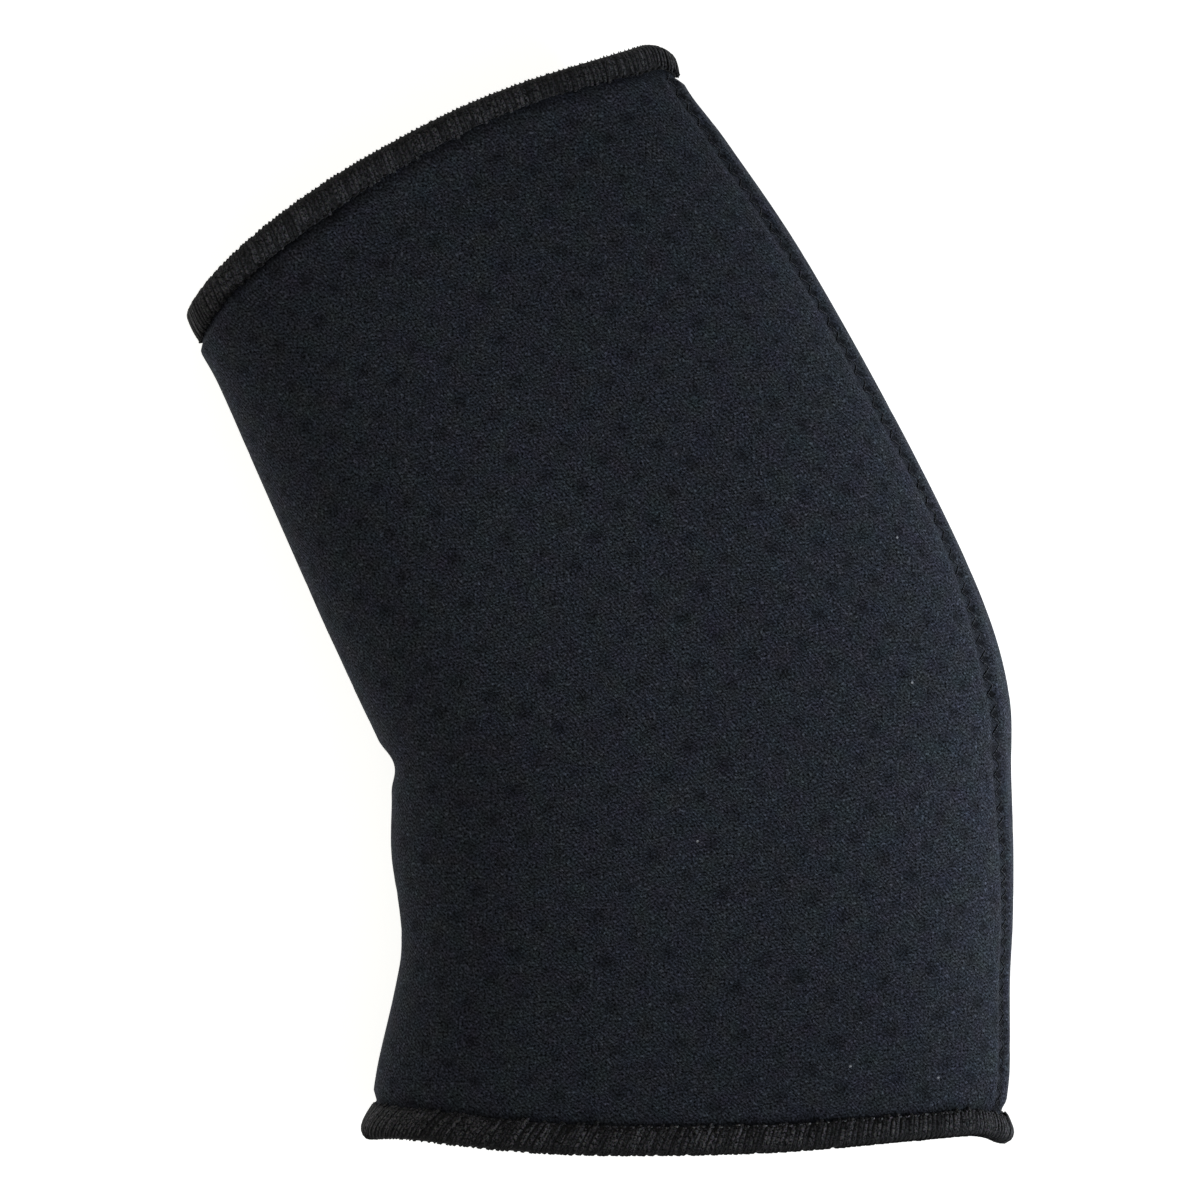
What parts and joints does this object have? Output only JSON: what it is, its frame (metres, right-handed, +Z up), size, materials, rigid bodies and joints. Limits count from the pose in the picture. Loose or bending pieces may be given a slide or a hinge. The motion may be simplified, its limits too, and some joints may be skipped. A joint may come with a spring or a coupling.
{
  "type": "elbow sleeve",
  "caption": "Pull-on elbow sleeve of perforated neoprene: a bent open tube with overlocked hems round both rims and a zigzag seam along the outside of the bend.",
  "frame": {"origin": "on the surface that the sleeve lies on, under the middle of its outline", "axes": "+Z up from the surface; +Y from the upper-arm end to the forearm end; +X towards the point of the elbow"},
  "size_m": [0.1819, 0.2409, 0.0446],
  "materials": {
    "neoprene": "matt jersey knit over perforated foam",
    "hem_thread": "wound textured thread",
    "seam_thread": "zigzag stitching in spun thread"
  },
  "bodies": {
    "root": {"sleeve_body": "neoprene", "upper_arm_hem": "hem_thread", "forearm_hem": "hem_thread", "elbow_seam": "seam_thread"}
  },
  "joints": []
}
